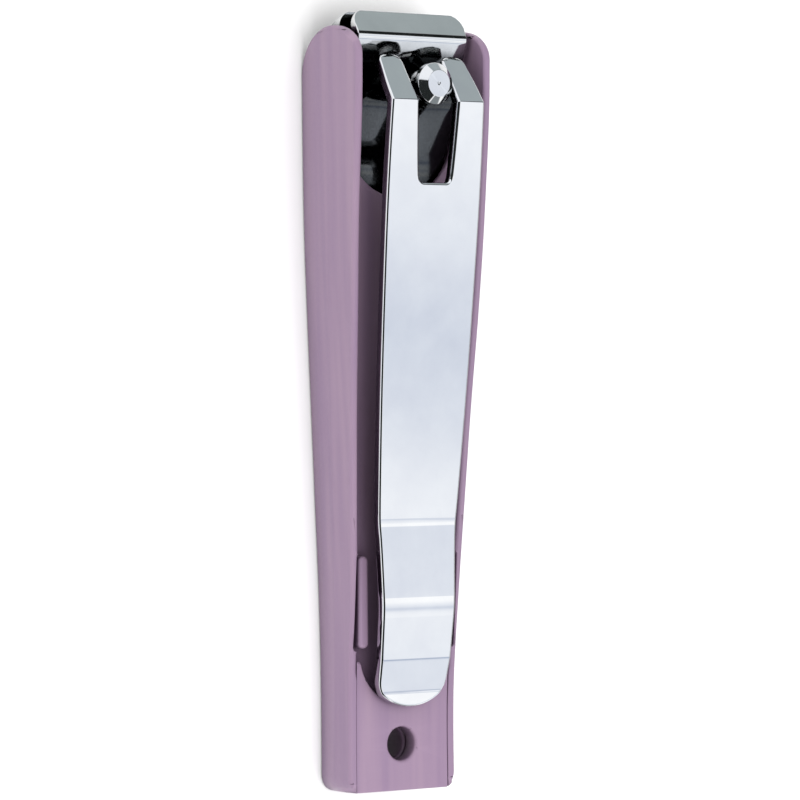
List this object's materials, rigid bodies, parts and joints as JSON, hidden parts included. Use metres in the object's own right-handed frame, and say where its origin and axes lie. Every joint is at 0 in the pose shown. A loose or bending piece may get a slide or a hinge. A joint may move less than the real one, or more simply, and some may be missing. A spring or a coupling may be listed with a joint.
{
  "type": "nail clipper",
  "caption": "Compound-lever nail clipper with curved steel jaws, folded lever on a pivot pin, and a plastic clippings-catcher sheath with a lanyard hole.",
  "frame": {"origin": "middle of the sheath's flat back, half way along the object, on the surface it lies on", "axes": "+Z out of the lever face, away from the surface it lies on; +Y along the object from the lanyard tail to the jaws; +X to the right, seen from the lever face with the jaws up"},
  "size_m": [0.019, 0.088, 0.0139],
  "materials": {
    "sheath_plastic": "satin moulded",
    "arm_chrome": "polished",
    "rivet_steel": "plain",
    "pin_chrome": "polished",
    "lever_chrome": "mirror polished"
  },
  "bodies": {
    "case": {"rear_shell": "sheath_plastic", "front_plate": "sheath_plastic"},
    "lower_arm": {"lower_arm": "arm_chrome", "tail_rivet": "rivet_steel"},
    "upper_arm": {"upper_arm": "arm_chrome"},
    "pin": {"pivot_pin": "pin_chrome"},
    "lever": {"lever": "lever_chrome"}
  },
  "joints": [
    {"name": "clipper_slide", "type": "slide", "parent": "case", "child": "lower_arm", "axis": [0, 1, 0], "range_m": [0, 0.08]},
    {"name": "jaw_close", "type": "hinge", "parent": "lower_arm", "child": "upper_arm", "pos_m": [0, -0.029, 0.00224], "axis": [-1, 0, 0], "range_deg": [0, 1.6], "stiffness_Nm_per_rad": 1, "springref_deg": -2.86},
    {"name": "pin_swivel", "type": "hinge", "parent": "lower_arm", "child": "pin", "pos_m": [0, 0.03565, 0.0115], "axis": [0, 0, 1], "continuous": true},
    {"name": "lever_flip", "type": "hinge", "parent": "pin", "child": "lever", "pos_m": [0, 0.03565, 0.0115], "axis": [-1, 0, 0], "range_deg": [0, 168]}
  ]
}
